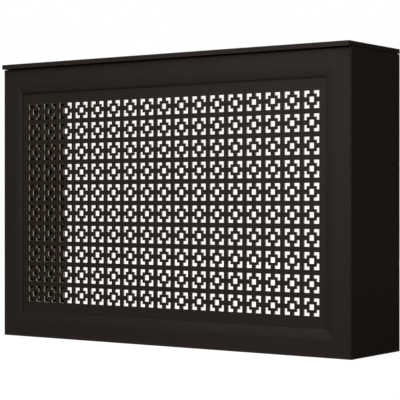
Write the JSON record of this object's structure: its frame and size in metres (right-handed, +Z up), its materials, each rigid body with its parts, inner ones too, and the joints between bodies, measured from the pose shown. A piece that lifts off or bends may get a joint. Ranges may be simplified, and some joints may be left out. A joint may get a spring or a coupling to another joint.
{
  "type": "radiator cover cabinet",
  "caption": "Radiator cover cabinet with an open back, a thin overhanging lid and a mitred front frame round a fretwork panel that pulls off magnetic catches.",
  "frame": {"origin": "on the floor, in the middle of the rectangle that the object covers seen from above", "axes": "+X to the right of someone who faces the front, along the width; +Y from the front towards the wall, along the depth; +Z up"},
  "size_m": [0.9, 0.206, 0.611],
  "materials": {
    "dark_foil": "dark brown satin foil over fibreboard, raw pale edges in the openings",
    "carcass_board": "dark brown painted fibreboard",
    "beech": "bare pressed beech",
    "zinc_steel": "bright zinc",
    "catch_plastic": "dark brown moulded plastic",
    "ferrite": "dark grey ferrite"
  },
  "bodies": {
    "carcass": {"lid_board": "dark_foil", "left_side_panel": "dark_foil", "right_side_panel": "dark_foil", "front_top_rail": "carcass_board", "front_bottom_rail": "carcass_board", "rear_top_rail": "carcass_board", "left_lid_cleat": "carcass_board", "right_lid_cleat": "carcass_board", "cleat_screws": "zinc_steel", "catch_housing_top_left": "catch_plastic", "catch_magnet_top_left": "ferrite", "catch_pole_plates_top_left": "zinc_steel", "catch_housing_top_right": "catch_plastic", "catch_magnet_top_right": "ferrite", "catch_pole_plates_top_right": "zinc_steel", "catch_housing_bottom_left": "catch_plastic", "catch_magnet_bottom_left": "ferrite", "catch_pole_plates_bottom_left": "zinc_steel", "catch_housing_bottom_right": "catch_plastic", "catch_magnet_bottom_right": "ferrite", "catch_pole_plates_bottom_right": "zinc_steel"},
    "front_screen": {"frame_top_rail": "dark_foil", "frame_bottom_rail": "dark_foil", "frame_left_stile": "dark_foil", "frame_right_stile": "dark_foil", "fretwork_panel": "dark_foil", "mitre_biscuit_top_left": "beech", "mitre_biscuit_top_right": "beech", "mitre_biscuit_bottom_left": "beech", "mitre_biscuit_bottom_right": "beech", "strike_plate_top_left": "zinc_steel", "strike_plate_top_right": "zinc_steel", "strike_plate_bottom_left": "zinc_steel", "strike_plate_bottom_right": "zinc_steel"}
  },
  "joints": [
    {"name": "front_screen_pull", "type": "slide", "parent": "carcass", "child": "front_screen", "axis": [0, -1, 0], "range_m": [0, 0.15]}
  ]
}
